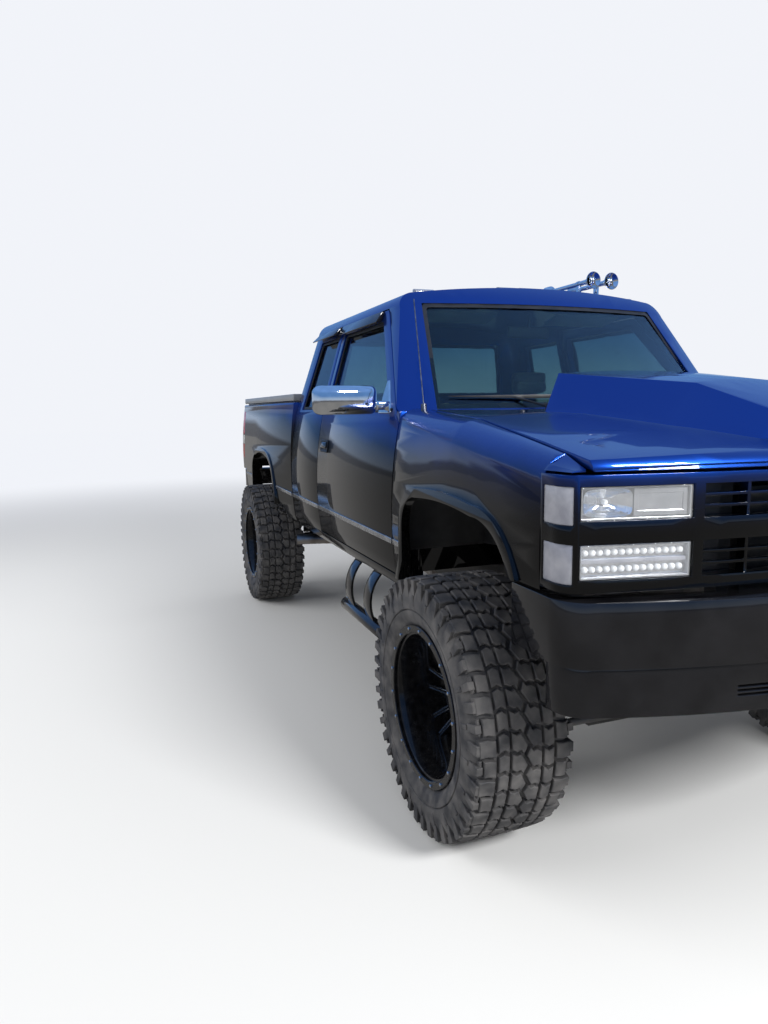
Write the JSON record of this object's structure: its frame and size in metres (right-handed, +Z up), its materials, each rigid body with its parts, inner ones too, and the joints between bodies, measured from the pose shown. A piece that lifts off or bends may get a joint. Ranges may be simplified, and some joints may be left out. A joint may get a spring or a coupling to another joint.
{
  "type": "pickup truck",
  "caption": "Lifted extended-cab pickup truck with a lidded short bed, deep-dish wheels on mud tyres, a hood scoop, roof horns and opening doors.",
  "frame": {"origin": "on the ground, midway along and across the truck", "axes": "+Z up, the truck's front faces -Y, its left side is +X"},
  "size_m": [2.527, 5.5647, 2.3049],
  "materials": {
    "body_paint": "glossy metallic",
    "grey_lid": "satin",
    "glass": "clear with a green tint",
    "trim_grey": "grained",
    "seat_cloth": "woven",
    "black_plastic": "satin",
    "smoked_plastic": "glossy",
    "gloss_black": "glossy",
    "frame_black": "satin",
    "cast_metal": "as cast",
    "pipe_steel": "dull",
    "chrome": "polished",
    "step_chrome": "polished",
    "lamp_clear": "clear",
    "lamp_red": "clear",
    "tyre": "matte",
    "wheel_black": "gloss black with milled edges"
  },
  "bodies": {
    "chassis": {"antenna": "black_plastic", "bed": "body_paint", "cab_glass": "glass", "cab_shell": "body_paint", "crossmembers": "frame_black", "dashboard": "trim_grey", "driveline": "cast_metal", "engine_block": "cast_metal", "exhaust": "pipe_steel", "fender_left": "body_paint", "fender_right": "body_paint", "frame_rail_left": "frame_black", "frame_rail_right": "frame_black", "front_bumper": "gloss_black", "front_lamps": "lamp_clear", "front_liners": "black_plastic", "front_suspension": "frame_black", "fuel_tank": "black_plastic", "grille_shell": "body_paint", "quarter_visors": "smoked_plastic", "radiator_support": "black_plastic", "rear_bumper": "gloss_black", "rear_suspension": "cast_metal", "roof_horns": "chrome", "roof_lamps": "lamp_clear", "seats": "seat_cloth", "side_steps": "step_chrome", "tail_lamps": "lamp_red", "wipers": "black_plastic"},
    "door_l": {"door_left": "body_paint", "door_glass_left": "glass", "mirror_left": "chrome"},
    "door_r": {"door_right": "body_paint", "door_glass_right": "glass", "mirror_right": "chrome"},
    "hood_body": {"hood": "body_paint"},
    "gate": {"tailgate": "body_paint"},
    "lid": {"bed_lid": "grey_lid"},
    "knuckle_l": {"knuckle_left": "cast_metal"},
    "knuckle_r": {"knuckle_right": "cast_metal"},
    "tie": {"tie_rod": "cast_metal"},
    "front_wheel_l": {"wheel_front_left": "wheel_black", "tyre_front_left": "tyre"},
    "front_wheel_r": {"wheel_front_right": "wheel_black", "tyre_front_right": "tyre"},
    "rear_wheel_l": {"wheel_rear_left": "wheel_black", "tyre_rear_left": "tyre"},
    "rear_wheel_r": {"wheel_rear_right": "wheel_black", "tyre_rear_right": "tyre"}
  },
  "joints": [
    {"name": "steer_left", "type": "hinge", "parent": "chassis", "child": "knuckle_l", "pos_m": [0.79, -1.8685, 0.48], "axis": [0, 0, 1], "range_deg": [-27, 27]},
    {"name": "steer_right", "type": "hinge", "parent": "chassis", "child": "knuckle_r", "pos_m": [-0.79, -1.8685, 0.48], "axis": [0, 0, 1], "range_deg": [-27, 27]},
    {"name": "tie_rod_pivot", "type": "hinge", "parent": "knuckle_l", "child": "tie", "pos_m": [0.79, -2.0585, 0.4087], "axis": [0, 0, 1], "range_deg": [-27, 27]},
    {"name": "front_wheel_left_spin", "type": "hinge", "parent": "knuckle_l", "child": "front_wheel_l", "pos_m": [0.925, -1.8685, 0.48], "axis": [1, 0, 0], "continuous": true},
    {"name": "front_wheel_right_spin", "type": "hinge", "parent": "knuckle_r", "child": "front_wheel_r", "pos_m": [-0.925, -1.8685, 0.48], "axis": [1, 0, 0], "continuous": true},
    {"name": "rear_wheel_left_spin", "type": "hinge", "parent": "chassis", "child": "rear_wheel_l", "pos_m": [0.925, 1.7255, 0.48], "axis": [1, 0, 0], "continuous": true},
    {"name": "rear_wheel_right_spin", "type": "hinge", "parent": "chassis", "child": "rear_wheel_r", "pos_m": [-0.925, 1.7255, 0.48], "axis": [1, 0, 0], "continuous": true},
    {"name": "door_left_swing", "type": "hinge", "parent": "chassis", "child": "door_l", "pos_m": [0.968, -1.2705, 1.04], "axis": [0.04, 0, -0.9992], "range_deg": [0, 62]},
    {"name": "door_right_swing", "type": "hinge", "parent": "chassis", "child": "door_r", "pos_m": [-0.968, -1.2705, 1.04], "axis": [0.04, 0, 0.9992], "range_deg": [0, 62]},
    {"name": "hood_lift", "type": "hinge", "parent": "chassis", "child": "hood_body", "pos_m": [0, -1.3485, 1.575], "axis": [-1, 0, 0], "range_deg": [0, 50]},
    {"name": "tailgate_drop", "type": "hinge", "parent": "chassis", "child": "gate", "pos_m": [0, 2.6885, 1.162], "axis": [-1, 0, 0], "range_deg": [0, 90]},
    {"name": "bed_lid_lift", "type": "hinge", "parent": "chassis", "child": "lid", "pos_m": [0, 0.7035, 1.625], "axis": [1, 0, 0], "range_deg": [0, 35]}
  ],
  "couplings": [
    {"joint": "steer_right", "follows": "steer_left", "ratio": 1},
    {"joint": "tie_rod_pivot", "follows": "steer_left", "ratio": -1}
  ]
}
